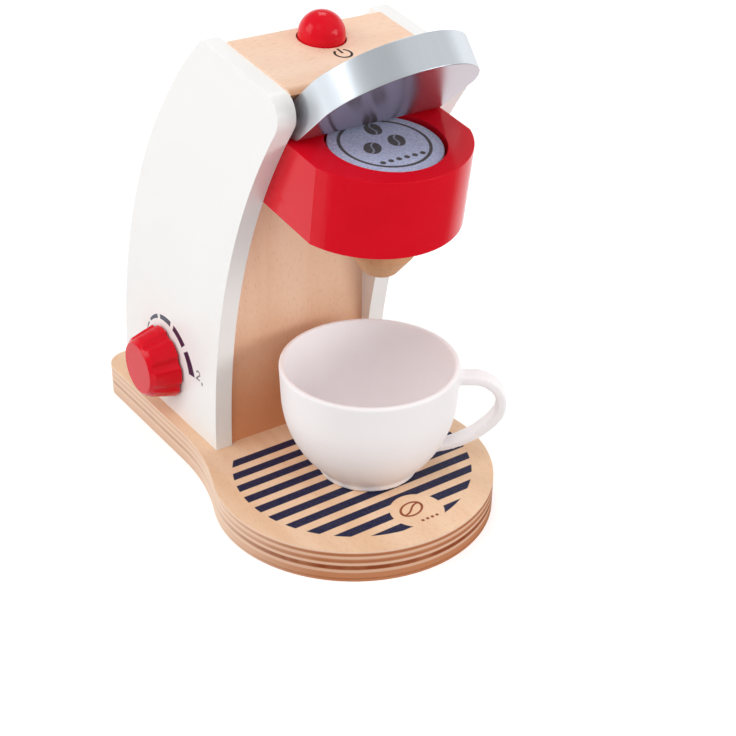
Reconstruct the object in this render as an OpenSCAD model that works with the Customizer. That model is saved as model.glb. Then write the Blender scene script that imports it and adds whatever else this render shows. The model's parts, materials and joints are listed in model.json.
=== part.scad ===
// Toy coffee maker: two curved side panels on a keyhole base, with a tilted brew head between them.
// X runs across the machine, -Y is its front and +Z is up. The origin is the middle of the underside.

/* [Base board] */
// Radius of the round tray at the front of the base
tray_r = 61; // [56:0.5:68]
// Thickness of the plywood base
base_t = 14.8; // [10:0.1:18]
// Width of base that shows outside each side panel
side_margin = 5.6; // [2:0.2:8]
// Length of base that shows behind the side panels
rear_margin = 16.6; // [14:0.2:24]
// Radius of the two rear corners of the base
tail_corner_r = 12; // [6:0.5:18]
// Radius of the hollow neck on each side, between the tray and the rear end
neck_r = 110; // [60:1:140]

/* [Side panels] */
// Clear width between the two side panels
inner_w = 70.2; // [66:0.2:76]
// Thickness of a side panel
panel_t = 8; // [6.5:0.5:10]
// Distance from the middle of the tray back to the front foot of the panels
tray_to_panel = 43.4; // [38:0.2:48]
// Depth of a panel where it stands on the base, front to back
panel_foot = 85; // [82:0.5:95]
// Height of a panel's rear top corner above the base
panel_h = 186.3; // [182:0.1:190]
// Distance that the hollow front edge leans forward over that height
front_lean = 71; // [66:0.5:76]
// Distance that the bulging rear edge leans forward over that height
rear_lean = 86.7; // [80:0.1:92]
// Radius of the front top corner
corner_r = 8.5; // [6:0.25:10]
// Slope of the top and of the brew head, down towards the front, in degrees
top_tilt = 8; // [5:0.5:10]

/* [Inner boards] */
// Thickness of the front board
front_board_t = 6; // [4:0.5:8]
// Setback of the front board behind the foot of the panels
front_board_setback = 2; // [1:0.25:4]
// Thickness of the bent back board
back_board_t = 4.5; // [3:0.25:6]
// Setback of the back board inside the rear edge of the panels
back_board_setback = 4.25; // [3:0.25:6]
// Thickness of the top board
top_board_t = 13.5; // [11:0.25:15]
// Height at which the top board stands proud of the panels' top edges
top_board_rise = 0.8; // [0:0.1:2]
// Setback of the top board's rounded front inside the panels' front edges
top_board_setback = 0.2; // [0:0.1:1]
// Thickness of the block between the top board and the brew head
button_block_t = 7.5; // [6.5:0.25:9]

/* [Brew head] */
// Height of the brew head, square to its top
head_t = 32.4; // [28:0.1:36]
// Radius of the round front of the head
head_nose_r = 37.4; // [36.5:0.1:44]
// Distance from the middle of the tray forward to the middle of the pod
pod_ahead = 19.4; // [16:0.2:22]
// Width of the rim in front of the pod recess
head_rim_w = 7.4; // [6:0.1:12]
// Gap between the rear end of the head and the back board
head_rear_gap = 0.2; // [0.1:0.1:1]

/* [Coffee pod] */
// Radius of the coffee pod
pod_r = 22.2; // [20:0.1:24.5]
// Gap around the pod in its recess
pod_gap = 1.1; // [0.4:0.05:1.4]
// Thickness of the wooden pod disc
pod_core_t = 3.4; // [2.5:0.1:5]
// Thickness of the felt face
pod_felt_t = 1.5; // [1:0.1:2]
// Depth of the felt face below the top of the head
pod_sink = 1.5; // [0.6:0.1:2.4]

/* [Spout] */
// Radius of the spout where it meets the head
spout_r = 13.5; // [11:0.25:16]
// Radius of the spout's lower end
spout_tip_r = 7.3; // [5:0.1:9]
// Length of the spout's straight part
spout_neck_h = 12; // [8:0.5:18]
// Length of the spout's tapered part
spout_cone_h = 9.5; // [7:0.25:12]
// Distance of the spout ahead of the middle of the pod
spout_ahead = 4.8; // [0:0.1:9]
// Radius of the tenon that holds the spout
tenon_r = 6; // [4:0.25:8]
// Length of the tenon
tenon_h = 12; // [8:0.5:16]

/* [Lid] */
// Thickness of the lid
lid_t = 13.2; // [12:0.1:14.5]
// Radius of the lid's round front
lid_nose_r = 33.4; // [33.2:0.1:44]
// Length of lid that overhangs the head as a finger lip
lid_lip = 5.5; // [1:0.25:8]
// Opening angle of the lid as drawn, in degrees from shut
lid_open = 48; // [44:0.5:50]
// Mean gap between the lid and a side panel
lid_side_gap = 2.3; // [2:0.1:2.6]
// Offset of the lid to the right between the panels
lid_shift = 0.6; // [0:0.1:1.4]
// Gap under the shut lid
lid_gap = 0.3; // [0.2:0.05:0.6]
// Gap between the raised lid and the top board that stops it
lid_stop_gap = 0.4; // [0.3:0.05:0.8]
// Radius of a hinge pin
pin_r = 2; // [1.5:0.1:2.2]
// Distance of the hinge axis behind the front edge of the panels
pin_inset = 4.6; // [4:0.1:6]
// Depth of a hinge pin in its panel
pin_in_panel = 5; // [4:0.25:6]
// Depth of a hinge pin in the lid
pin_in_lid = 9; // [6:0.25:12]

/* [Power button] */
// Radius of the button
button_r = 9.3; // [8:0.1:9.6]
// Gap around the button in the top board
button_gap = 0.5; // [0.3:0.05:0.8]
// Height of the button's straight foot above the top board
button_foot_h = 1.5; // [0.5:0.1:2]
// Travel of the button
button_travel = 4; // [2:0.25:4]
// Width of the flange that keeps the button in
flange_w = 1.3; // [1:0.1:1.5]
// Thickness of the flange
flange_t = 2.4; // [1.5:0.1:2.4]
// Distance of the button behind the middle of the pod
button_behind = 47.2; // [45:0.1:48]
// Outer radius of the return spring
spring_r = 5; // [4:0.1:5.5]
// Radius of the spring wire
spring_wire_r = 0.45; // [0.3:0.05:0.6]
// Number of turns in the spring
spring_turns = 7; // [4:1:8]
// Depth of the spring pocket in the head
spring_pocket_h = 8; // [5:0.5:12]

/* [Dial knob] */
// Radius of the knob where it meets the panel
knob_r = 17; // [15:0.1:18]
// Radius of the knob's outer end
knob_tip_r = 14; // [12:0.1:14.4]
// Length of the knob
knob_h = 13.4; // [10:0.1:16]
// Number of finger scallops around the knob
knob_scallops = 8; // [6:1:12]
// Depth of a finger scallop
scallop_depth = 1.3; // [0.8:0.1:2]
// Radius of a finger scallop
scallop_r = 4; // [3.5:0.25:6]
// Height of the knob's axis above the base
knob_z = 24.9; // [22:0.1:40]
// Distance of the knob's axis behind the front foot of the panels
knob_behind = 44.1; // [36:0.1:50]
// Width of the bevel round the knob's outer end
knob_bevel = 2.2; // [1:0.1:3]
// Radius of the knob's shaft
shaft_r = 4; // [3:0.1:5]
// Depth of the shaft in the knob
shaft_in_knob = 8; // [5:0.5:9]
// Radius of the felt washer behind the knob
washer_r = 9; // [7.5:0.25:12]
// Thickness of the felt washer
washer_t = 0.8; // [0.5:0.1:1.5]
// Radius of the retaining collar inside the machine
collar_r = 8.5; // [7:0.25:10]
// Thickness of the retaining collar
collar_t = 5; // [3:0.5:8]

/* [Cup] */
// Outer radius of the cup at its rim
cup_rim_r = 38.2; // [36:0.1:41]
// Outer radius of the cup where its wall meets the bowl
cup_waist_r = 37.5; // [35:0.1:38.5]
// Height of the cup
cup_h = 52; // [49:0.5:58]
// Height of the top of the bowl
cup_bowl_h = 38.5; // [36:0.25:40]
// Radius of the bowl's curve
cup_bowl_r = 48; // [45:0.25:52]
// Wall thickness of the cup
cup_wall = 2.4; // [1.8:0.1:3]
// Thickness of the cup's floor
cup_floor = 4; // [3.5:0.1:6]
// Radius of the cup's foot
foot_r = 21.7; // [20.5:0.1:23]
// Height of the foot's straight edge
foot_h = 2.5; // [1.5:0.1:4]
// Turn round the bowl's curve at which it runs out into a cone, in degrees below level
cone_turn = 44.4; // [41:0.1:47]
// Distance of the cup ahead of the middle of the tray
cup_ahead = 2.1; // [0:0.1:8]
// Offset of the cup to the right
cup_x = 6.6; // [-3:0.1:9]
// Direction of the handle, in degrees from the right side
handle_turn = -35; // [-60:1:0]
// Thickness of the handle strap
strap_t = 4.1; // [3.5:0.1:6]
// Thickness of the strap at its lower end
strap_end_t = 2.6; // [2:0.1:4]
// Width of the handle strap
strap_w = 8.2; // [6:0.1:11]
// Radius of the handle's upper bend, to the middle of the strap
bend_r = 12; // [10:0.1:13]
// Distance from the cup's axis to the middle of the upper bend
bend_x = 44; // [42:0.25:48]
// Height of the handle's upper arm above the cup's foot
arm_z = 44.8; // [42:0.1:46]
// Turn of the upper bend below its outermost point, in degrees
bend_turn = 38; // [34:1:42]
// Radius of the handle's long lower bend
arm_r = 41; // [37:0.5:45]
// Turn of the lower bend, in degrees
arm_turn = 47; // [44:1:50]

/* [Joinery] */
// Radius of the dowels in the brew head and the top board
dowel_r = 2.5; // [2:0.1:2.8]
// Distance of the head's front dowels ahead of the button
dowel_ahead = 18; // [16:0.5:20]
// Distance of the head's rear dowels behind the button
dowel_behind = 5; // [2:0.5:5]
// Radius of the dowels in the front and back boards
thin_dowel_r = 1.5; // [1:0.1:1.7]
// Depth of a dowel in a side panel
dowel_in_panel = 5; // [4:0.25:6]
// Depth of a dowel in a board or a block
dowel_in_board = 11; // [8:0.5:14]
// Radius of a screw's shank
screw_r = 1.75; // [1.5:0.05:2]
// Radius of a screw's countersunk head
screw_head_r = 3.5; // [3:0.1:3.8]
// Height of a screw's countersunk head
screw_head_h = 2.2; // [1.8:0.1:3]
// Depth of a screw's head below the underside
screw_sink = 0.4; // [0.2:0.1:1]
// Depth of a screw in its panel
screw_in_panel = 14; // [10:0.5:18]
// Distance of the screws from the two ends of a panel's foot
screw_inset = 15; // [12:0.5:24]

/* [Fits] */
// Radial gap of a glued or screwed pin
glue_gap = 0.05; // [0.02:0.01:0.1]
// Radial gap of a pin or shaft that turns
running_gap = 0.08; // [0.03:0.01:0.1]
// End gap of a pin in its hole
end_gap = 0.5; // [0.2:0.1:1]
// Gap beside a piece that turns or slides on a flat face
face_gap = 0.1; // [0.05:0.05:0.3]

/* [Hidden] */
$fn = 96;
arc_fn = 720;
cut = 1;
far = 400;

// Base, in plan
base_len = tray_r + tray_to_panel + panel_foot + rear_margin;
base_back = base_len / 2;
tray_y = tray_r - base_len / 2;
body_w = inner_w + 2 * panel_t;
tail_w = body_w + 2 * side_margin;
neck_x = tail_w / 2 + neck_r;
neck_y = sqrt(pow(tray_r + neck_r, 2) - pow(neck_x, 2));

// Side outline, in [y, z]
foot_front = tray_y + tray_to_panel;
foot_rear = foot_front + panel_foot;
front_r = lean_r(front_lean);
rear_r = lean_r(rear_lean);
front_c = [foot_front - front_r, base_t];
rear_c = [foot_rear - rear_r, base_t];
rear_top = [rear_c[0] + sqrt(pow(rear_r, 2) - pow(panel_h, 2)), base_t + panel_h];
along = [cos(top_tilt), sin(top_tilt)];
out = [-sin(top_tilt), cos(top_tilt)];

// Head frame: its origin is the middle of the pod, on the head's top face
head_drop = top_board_t + button_block_t - top_board_rise;
pod_y = tray_y - pod_ahead;
pod_z = rear_top[1] + (pod_y - rear_top[0]) * tan(top_tilt) - head_drop / cos(top_tilt);
pod_c = [pod_y, pod_z];
recess_r = pod_r + pod_gap;
recess_h = pod_sink + pod_felt_t + pod_core_t + face_gap;
head_front = recess_r + head_rim_w;
top_face = button_block_t + top_board_t;
back_out_r = rear_r - back_board_setback;
back_in_r = back_out_r - back_board_t;
front_board_y = foot_front + front_board_setback;

// Lid
lid_w = inner_w - 2 * lid_side_gap;
pin_rise = lid_t / 2 + lid_gap;
pin_back = reach(front_c, front_r + pin_inset, pin_rise);
lid_len = pin_back + head_front + lid_lip;
stop_dir = [-cos(lid_open), sin(lid_open)];
stop_out = [sin(lid_open), cos(lid_open)];

// Button
flange_r = button_r + flange_w;
chamber_r = flange_r + button_gap;
spring_seat = button_travel + flange_t;
spring_top = -spring_seat - face_gap;
spring_foot = -top_face - spring_pocket_h + face_gap;
wire_sides = 6;
turn_steps = 18;

// Knob
knob_at = [-body_w / 2, foot_front + knob_behind, base_t + knob_z];
knob_lift = washer_t + 2 * face_gap;

// Cup
bowl_x = cup_waist_r - cup_bowl_r;
bend_steps = 24;

// Dowels, each at [distance behind the pod, height above the head's top] or at a height on its board
dowel_back = [button_behind - dowel_ahead, button_behind + dowel_behind];
head_dowel_at = [for (back = dowel_back) [back, -head_t / 2]];
top_dowel_at = [for (back = dowel_back) [back, button_block_t + top_board_t / 2]];
board_dowel_z = [for (share = [0.15, 0.58]) base_t + share * panel_h];
front_dowel_at = [for (z = board_dowel_z) [front_board_y + front_board_t / 2, z]];
back_mid_r = back_out_r - back_board_t / 2;
back_dowel_at = [for (z = board_dowel_z) [rear_c[0] + sqrt(pow(back_mid_r, 2) - pow(z - base_t, 2)), z]];
screw_at = [foot_front + screw_inset, foot_rear - screw_inset];

// Radius of a panel edge that stands upright at its foot and leans forward over the panel's height
function lean_r(lean) = (pow(lean, 2) + pow(panel_h, 2)) / (2 * lean);

// Distance behind the pod's middle at which a line, rise above the head's top, meets a circle in [y, z]
function reach(centre, r, rise) =
    let (d = pod_c + rise * out - centre, p = d * along)
    sqrt(pow(r, 2) - d * d + pow(p, 2)) - p;

// Point in [y, z] from a distance behind the pod's middle and a height above the head's top
function spot(back, rise) = pod_c + back * along + rise * out;

// Raises a side outline to a slab of width w, centred at x
module slab(x, w) {
    translate([x - w / 2, 0, 0]) rotate([90, 0, 90]) linear_extrude(w) children();
}

// Places a piece drawn in the head frame
module on_head(back = 0, rise = 0) {
    place = spot(back, rise);
    translate([0, place[0], place[1]]) rotate([top_tilt, 0, 0]) children();
}

// Places a piece drawn with +Z out of the left panel, on the knob's axis
module on_knob() {
    translate(knob_at) rotate([0, -90, 0]) children();
}

// Cylinders across the machine at each [y, z], on both sides, from x = inner to x = outer
module cross_pins(places, r, inner, outer) {
    for (p = places, side = [-1, 1])
        translate([side * (inner + outer) / 2, p[0], p[1]])
            rotate([0, 90, 0]) cylinder(h = outer - inner, r = r, center = true);
}

module dowel_set(places, r) {
    cross_pins(places, r, inner_w / 2 - dowel_in_board, inner_w / 2 + dowel_in_panel);
}

module dowel_holes(places, r) {
    cross_pins(places, r + glue_gap, inner_w / 2 - dowel_in_board - end_gap,
        inner_w / 2 + dowel_in_panel + end_gap);
}

// Side outline of the machine, drawn in from its top, front and rear edges
module side_outline(top_in, front_in, rear_in) {
    r = corner_r - top_in;
    to_top = (rear_top - top_in * out - r * out) - front_c;
    p = to_top * along;
    centre = front_c + to_top
        - (p - sqrt(pow(front_r + front_in + r, 2) - to_top * to_top + pow(p, 2))) * along;
    top_leg = 3 * r * out;
    front_leg = 3 * r * (front_c - centre) / norm(front_c - centre);
    high = rear_top - top_in * out;
    difference() {
        intersection() {
            translate(rear_c) circle(r = rear_r - rear_in, $fn = arc_fn);
            polygon([[-far, base_t], [far, base_t], high + far * along, high - far * along]);
        }
        translate(front_c) circle(r = front_r + front_in, $fn = arc_fn);
        difference() {
            polygon([centre, centre + top_leg, centre + top_leg + front_leg, centre + front_leg]);
            translate(centre) circle(r = r);
        }
    }
}

// Band of the side outline between two heights above the head's top
module band(low, high) {
    polygon([spot(-far / 2, low), spot(far / 2, low), spot(far / 2, high), spot(-far / 2, high)]);
}

module panel(side) {
    difference() {
        slab(side * (inner_w + panel_t) / 2, panel_t) side_outline(0, 0, 0);
        cross_pins([spot(pin_back, pin_rise)], pin_r + glue_gap, inner_w / 2 - cut,
            inner_w / 2 + pin_in_panel + end_gap);
        dowel_holes([for (d = head_dowel_at) spot(d[0], d[1])], dowel_r);
        dowel_holes([for (d = top_dowel_at) spot(d[0], d[1])], dowel_r);
        dowel_holes(concat(front_dowel_at, back_dowel_at), thin_dowel_r);
        for (y = screw_at)
            translate([side * (inner_w + panel_t) / 2, y, base_t - cut])
                cylinder(h = cut + screw_in_panel + end_gap, r = screw_r + glue_gap);
    }
}

module base_board() {
    color("burlywood")
        difference() {
            linear_extrude(base_t)
                difference() {
                    union() {
                        translate([0, tray_y]) circle(r = tray_r, $fn = 2 * $fn);
                        translate([-tail_w / 2, tray_y]) square([tail_w, base_back - tray_y - tail_corner_r]);
                        translate([tail_corner_r - tail_w / 2, base_back - 2 * tail_corner_r])
                            square([tail_w - 2 * tail_corner_r, 2 * tail_corner_r]);
                        for (side = [-1, 1])
                            translate([side * (tail_w / 2 - tail_corner_r), base_back - tail_corner_r])
                                circle(r = tail_corner_r);
                        polygon([[0, tray_y], [neck_x, tray_y + neck_y], [-neck_x, tray_y + neck_y]]);
                    }
                    for (side = [-1, 1])
                        translate([side * neck_x, tray_y + neck_y]) circle(r = neck_r);
                }
            for (side = [-1, 1], y = screw_at)
                translate([side * (inner_w + panel_t) / 2, y, 0]) {
                    translate([0, 0, -cut]) cylinder(h = base_t + 2 * cut, r = screw_r + glue_gap);
                    translate([0, 0, screw_sink])
                        cylinder(h = screw_head_h, r1 = screw_head_r + glue_gap, r2 = screw_r + glue_gap);
                    translate([0, 0, -cut]) cylinder(h = screw_sink + cut, r = screw_head_r + glue_gap);
                }
        }
}

module left_panel() {
    color("white")
        difference() {
            panel(-1);
            on_knob() translate([0, 0, -panel_t - cut])
                cylinder(h = panel_t + 2 * cut, r = shaft_r + running_gap);
        }
}

module right_panel() {
    color("white") panel(1);
}

module front_board() {
    color("peru")
        difference() {
            slab(0, inner_w)
                difference() {
                    translate([front_board_y, base_t]) square([front_board_t, panel_h]);
                    band(-head_t, far);
                }
            dowel_holes(front_dowel_at, thin_dowel_r);
        }
}

module back_board() {
    color("burlywood")
        difference() {
            slab(0, inner_w)
                intersection() {
                    difference() {
                        translate(rear_c) circle(r = back_out_r, $fn = arc_fn);
                        translate(rear_c) circle(r = back_in_r, $fn = arc_fn);
                    }
                    translate([rear_c[0] + far / 4, base_t]) square([far, panel_h]);
                    band(-far, button_block_t);
                }
            dowel_holes(back_dowel_at, thin_dowel_r);
        }
}

module top_board() {
    stop = [pin_back, pin_rise] + (lid_t / 2 + lid_stop_gap) * stop_out;
    low = stop - far / 4 * stop_dir;
    high = stop + far / 4 * stop_dir;
    deep = far / 2 * stop_out;
    color("burlywood")
        difference() {
            slab(0, inner_w)
                intersection() {
                    side_outline(-top_board_rise, top_board_setback, back_board_setback);
                    band(button_block_t, far / 4);
                    polygon([for (p = [low, high, high + deep, low + deep]) spot(p[0], p[1])]);
                }
            on_head(button_behind, button_block_t - cut)
                cylinder(h = top_board_t + 2 * cut, r = button_r + button_gap);
            dowel_holes([for (d = top_dowel_at) spot(d[0], d[1])], dowel_r);
        }
}

module button_block() {
    front = pin_back + lid_t / 2 + 2 * lid_stop_gap;
    color("tan")
        difference() {
            slab(0, inner_w)
                intersection() {
                    polygon([spot(front, 0), spot(far / 4, 0), spot(far / 4, button_block_t),
                        spot(front, button_block_t)]);
                    translate(rear_c) circle(r = back_in_r - head_rear_gap, $fn = arc_fn);
                }
            on_head(button_behind, -cut)
                cylinder(h = button_block_t + 2 * cut, r = chamber_r);
        }
}

module head_block() {
    nose = head_nose_r - head_front;
    color("crimson")
        difference() {
            intersection() {
                slab(0, inner_w)
                    intersection() {
                        polygon([spot(-head_front, -head_t), spot(far / 4, -head_t), spot(far / 4, 0),
                            spot(-head_front, 0)]);
                        translate(rear_c) circle(r = back_in_r - head_rear_gap, $fn = arc_fn);
                    }
                on_head(0, -head_t - cut)
                    linear_extrude(head_t + 2 * cut)
                        union() {
                            translate([0, nose]) circle(r = head_nose_r, $fn = 2 * $fn);
                            translate([-inner_w, nose]) square([2 * inner_w, far / 4]);
                        }
            }
            on_head(0, -recess_h) cylinder(h = recess_h + cut, r = recess_r);
            on_head(-spout_ahead, -head_t - cut)
                cylinder(h = tenon_h + end_gap + cut, r = tenon_r + glue_gap);
            on_head(button_behind, -spring_pocket_h)
                cylinder(h = spring_pocket_h + cut, r = spring_r + 2 * button_gap);
            dowel_holes([for (d = head_dowel_at) spot(d[0], d[1])], dowel_r);
        }
}

module spout() {
    color("peru")
        on_head(-spout_ahead, -head_t)
            rotate_extrude()
                polygon([[0, tenon_h], [tenon_r, tenon_h], [tenon_r, 0], [spout_r, 0],
                    [spout_r, -spout_neck_h], [spout_tip_r, -spout_neck_h - spout_cone_h],
                    [0, -spout_neck_h - spout_cone_h]]);
}

module lid() {
    nose = lid_nose_r - lid_len;
    color("silver")
        on_head(pin_back, pin_rise)
            translate([lid_shift, 0, 0]) rotate([-lid_open, 0, 0])
                difference() {
                    union() {
                        translate([0, 0, -lid_t / 2])
                            linear_extrude(lid_t)
                                intersection() {
                                    translate([-lid_w / 2, -lid_len]) square([lid_w, lid_len]);
                                    union() {
                                        translate([0, nose]) circle(r = lid_nose_r, $fn = 2 * $fn);
                                        translate([-lid_w, nose]) square([2 * lid_w, lid_len]);
                                    }
                                }
                        rotate([0, 90, 0]) cylinder(h = lid_w, r = lid_t / 2, center = true);
                    }
                    for (side = [-1, 1])
                        translate([side * (lid_w - pin_in_lid - end_gap + cut) / 2, 0, 0])
                            rotate([0, 90, 0])
                                cylinder(h = pin_in_lid + end_gap + cut, r = pin_r + running_gap,
                                    center = true);
                }
}

module hinge_pins() {
    place = spot(pin_back, pin_rise);
    color("gray")
        for (side = [-1, 1]) {
            inner = lid_shift + side * (lid_w / 2 - pin_in_lid);
            outer = side * (inner_w / 2 + pin_in_panel);
            translate([(inner + outer) / 2, place[0], place[1]])
                rotate([0, 90, 0]) cylinder(h = abs(outer - inner), r = pin_r, center = true);
        }
}

module power_button() {
    flange_top = -top_board_t - face_gap;
    foot = flange_top - flange_t;
    color("crimson")
        on_head(button_behind, top_face)
            rotate_extrude()
                difference() {
                    union() {
                        intersection() {
                            translate([0, button_foot_h]) circle(r = button_r);
                            translate([0, button_foot_h]) square(button_r);
                        }
                        translate([0, foot]) square([button_r, button_foot_h - foot]);
                        translate([0, foot]) square([flange_r, flange_t]);
                    }
                    translate([-cut, foot - cut])
                        square([spring_r + 2 * button_gap + cut, -spring_seat - foot + cut]);
                }
}

// Ring of points around the spring's wire after a number of turns
function coil_ring(turn) =
    let (a = 360 * turn, mid = spring_r - spring_wire_r, low = spring_foot + spring_wire_r,
        high = spring_top - spring_wire_r, z = low + (high - low) * turn / spring_turns)
    [for (i = [0:wire_sides - 1]) let (b = 360 * i / wire_sides, r = mid + spring_wire_r * cos(b))
        [r * cos(a), r * sin(a), z + spring_wire_r * sin(b)]];

module button_spring() {
    sides = wire_sides;
    steps = turn_steps * spring_turns;
    rings = [for (i = [0:steps]) coil_ring(i / turn_steps)];
    faces = [for (i = [0:steps - 1], k = [0:sides - 1]) let (n = (k + 1) % sides)
        [i * sides + k, (i + 1) * sides + k, (i + 1) * sides + n, i * sides + n]];
    ends = [[for (k = [0:sides - 1]) k], [for (k = [sides - 1:-1:0]) steps * sides + k]];
    color("silver")
        on_head(button_behind, top_face)
            polyhedron(points = [for (ring = rings, p = ring) p], faces = concat(faces, ends));
}

module dial_knob() {
    color("crimson")
        on_knob()
            translate([0, 0, knob_lift])
                difference() {
                    rotate_extrude()
                        polygon([[0, 0], [knob_r, 0], [knob_tip_r, knob_h - knob_bevel],
                            [knob_tip_r - knob_bevel, knob_h], [0, knob_h]]);
                    for (i = [0:knob_scallops - 1])
                        rotate([0, 0, 360 * (i + 0.5) / knob_scallops])
                            translate([knob_r + scallop_r - scallop_depth, 0, 0])
                                rotate([0, -atan((knob_r - knob_tip_r) / knob_h), 0])
                                    cylinder(h = 3 * knob_h, r = scallop_r, center = true);
                    translate([0, 0, -cut])
                        cylinder(h = shaft_in_knob + end_gap + cut, r = shaft_r + glue_gap);
                }
}

module knob_shaft() {
    inside = panel_t + 2 * face_gap + collar_t;
    color("tan")
        on_knob() translate([0, 0, -inside]) cylinder(h = inside + knob_lift + shaft_in_knob, r = shaft_r);
}

module knob_ring(z, h, r) {
    on_knob()
        translate([0, 0, z])
            difference() {
                cylinder(h = h, r = r);
                translate([0, 0, -cut]) cylinder(h = h + 2 * cut, r = shaft_r + glue_gap);
            }
}

module knob_washer() {
    color("dimgray") knob_ring(face_gap, washer_t, washer_r);
}

module knob_collar() {
    color("tan") knob_ring(-panel_t - 2 * face_gap - collar_t, collar_t, collar_r);
}

module coffee_pod() {
    color("tan") on_head(0, face_gap - recess_h) cylinder(h = pod_core_t, r = pod_r);
}

module pod_felt() {
    color("lightsteelblue") on_head(0, face_gap - recess_h + pod_core_t) cylinder(h = pod_felt_t, r = pod_r);
}

// Half section of the cup's outside, or of its hollow when drawn in by the wall,
// with the wall running into the bowl without a crease
module cup_section(inset, floor_z, top_z) {
    r = cup_bowl_r - inset;
    cone_top = [bowl_x + r * cos(cone_turn), cup_bowl_h - r * sin(cone_turn)];
    cone_foot = cone_top - cone_top[1] / cos(cone_turn) * [sin(cone_turn), cos(cone_turn)];
    intersection() {
        hull() {
            intersection() {
                translate([bowl_x, cup_bowl_h]) circle(r = r, $fn = 2 * $fn);
                translate([0, cone_top[1]]) square([cup_bowl_r, cup_bowl_h - cone_top[1]]);
            }
            polygon([[0, 0], cone_foot, cone_top, [0, cone_top[1]]]);
            polygon([[0, cup_bowl_h], [cup_waist_r - inset, cup_bowl_h], [cup_rim_r - inset, cup_h],
                [cup_rim_r - inset, cup_h + 2 * cut], [0, cup_h + 2 * cut]]);
        }
        translate([0, floor_z]) square([2 * cup_rim_r, top_z - floor_z]);
    }
}

// Half section of the cup's wall, floor, foot and rounded rim
module cup_profile() {
    rim = cup_wall / 2;
    lean = (cup_rim_r - cup_waist_r) / (cup_h - cup_bowl_h);
    difference() {
        union() {
            cup_section(0, 0, cup_h - rim);
            square([foot_r, foot_h]);
        }
        cup_section(cup_wall, cup_floor, cup_h + cut);
    }
    translate([cup_rim_r - rim * lean - rim, cup_h - rim])
        intersection() {
            circle(r = rim, $fn = 32);
            translate([-cup_wall, 0]) square([2 * cup_wall, cup_wall]);
        }
}

// Points of the handle outline on one side of the strap: 1 outside, -1 inside
function strap_edge(side) =
    let (middle = [bend_x, arm_z - bend_r],
        low_middle = middle - (arm_r - bend_r) * [cos(bend_turn), -sin(bend_turn)])
    concat(
        [[cup_waist_r - cup_wall, arm_z + side * strap_t / 2]],
        [for (i = [0:bend_steps])
            let (a = 90 - (90 + bend_turn) * i / bend_steps)
            middle + (bend_r + side * strap_t / 2) * [cos(a), sin(a)]],
        [for (i = [1:bend_steps])
            let (share = i / bend_steps, a = -bend_turn - arm_turn * share,
                t = strap_t + (strap_end_t - strap_t) * share)
            low_middle + (arm_r + side * t / 2) * [cos(a), sin(a)]]);

// Handle outline, with x away from the cup's axis and y up
module strap() {
    inside = strap_edge(-1);
    polygon(concat(strap_edge(1), [for (i = [len(inside) - 1:-1:0]) inside[i]]));
}

module cup() {
    color("mistyrose")
        translate([cup_x, tray_y - cup_ahead, base_t + face_gap]) {
            rotate_extrude($fn = 2 * $fn) cup_profile();
            difference() {
                rotate([90, 0, handle_turn]) linear_extrude(strap_w, center = true) strap();
                rotate_extrude($fn = 2 * $fn) cup_section(cup_wall / 2, -cut, cup_h + cut);
            }
        }
}

module head_dowels() {
    color("tan") dowel_set([for (d = head_dowel_at) spot(d[0], d[1])], dowel_r);
}

module top_dowels() {
    color("tan") dowel_set([for (d = top_dowel_at) spot(d[0], d[1])], dowel_r);
}

module board_dowels() {
    color("tan") dowel_set(concat(front_dowel_at, back_dowel_at), thin_dowel_r);
}

module base_screws() {
    color("gray")
        for (side = [-1, 1], y = screw_at)
            translate([side * (inner_w + panel_t) / 2, y, screw_sink]) {
                cylinder(h = screw_head_h, r1 = screw_head_r, r2 = screw_r);
                cylinder(h = base_t - screw_sink + screw_in_panel, r = screw_r);
            }
}

base_board();
left_panel();
right_panel();
front_board();
back_board();
top_board();
button_block();
head_block();
spout();
lid();
hinge_pins();
power_button();
button_spring();
dial_knob();
knob_shaft();
knob_washer();
knob_collar();
coffee_pod();
pod_felt();
cup();
head_dowels();
top_dowels();
board_dowels();
base_screws();
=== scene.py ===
"""Toy coffee maker: rounded edges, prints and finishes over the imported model, on a pale studio floor."""
import json
from math import atan2, cos, pi, radians, sin

import bmesh
import bpy
from mathutils import Matrix, Vector


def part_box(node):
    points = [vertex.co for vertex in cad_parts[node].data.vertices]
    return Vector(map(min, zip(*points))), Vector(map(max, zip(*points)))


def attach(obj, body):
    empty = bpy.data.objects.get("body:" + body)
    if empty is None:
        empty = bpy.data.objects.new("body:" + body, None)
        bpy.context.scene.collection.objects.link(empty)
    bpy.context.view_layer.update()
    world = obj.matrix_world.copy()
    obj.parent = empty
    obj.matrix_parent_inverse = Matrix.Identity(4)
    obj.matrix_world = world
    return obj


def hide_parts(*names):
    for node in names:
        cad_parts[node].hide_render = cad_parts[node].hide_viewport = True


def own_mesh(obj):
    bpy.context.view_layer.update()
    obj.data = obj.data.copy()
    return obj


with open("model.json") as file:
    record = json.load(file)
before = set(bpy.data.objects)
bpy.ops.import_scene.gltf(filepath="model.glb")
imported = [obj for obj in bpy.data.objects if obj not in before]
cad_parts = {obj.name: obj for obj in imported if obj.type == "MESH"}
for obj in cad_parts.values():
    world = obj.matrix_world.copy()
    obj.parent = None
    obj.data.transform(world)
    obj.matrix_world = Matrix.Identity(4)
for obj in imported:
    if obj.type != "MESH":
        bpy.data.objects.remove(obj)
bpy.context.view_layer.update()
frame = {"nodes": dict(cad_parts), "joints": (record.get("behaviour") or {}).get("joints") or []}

# ---------------------------------------------------------------- sizes, in metres
MM = 0.001
JOINTS = {joint["name"]: joint for joint in frame["joints"]}

base_low, base_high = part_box("base_board")
TRAY_R = (base_high.x - base_low.x) / 2
TRAY_Y = base_low.y + TRAY_R
BASE_T = base_high.z

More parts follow.
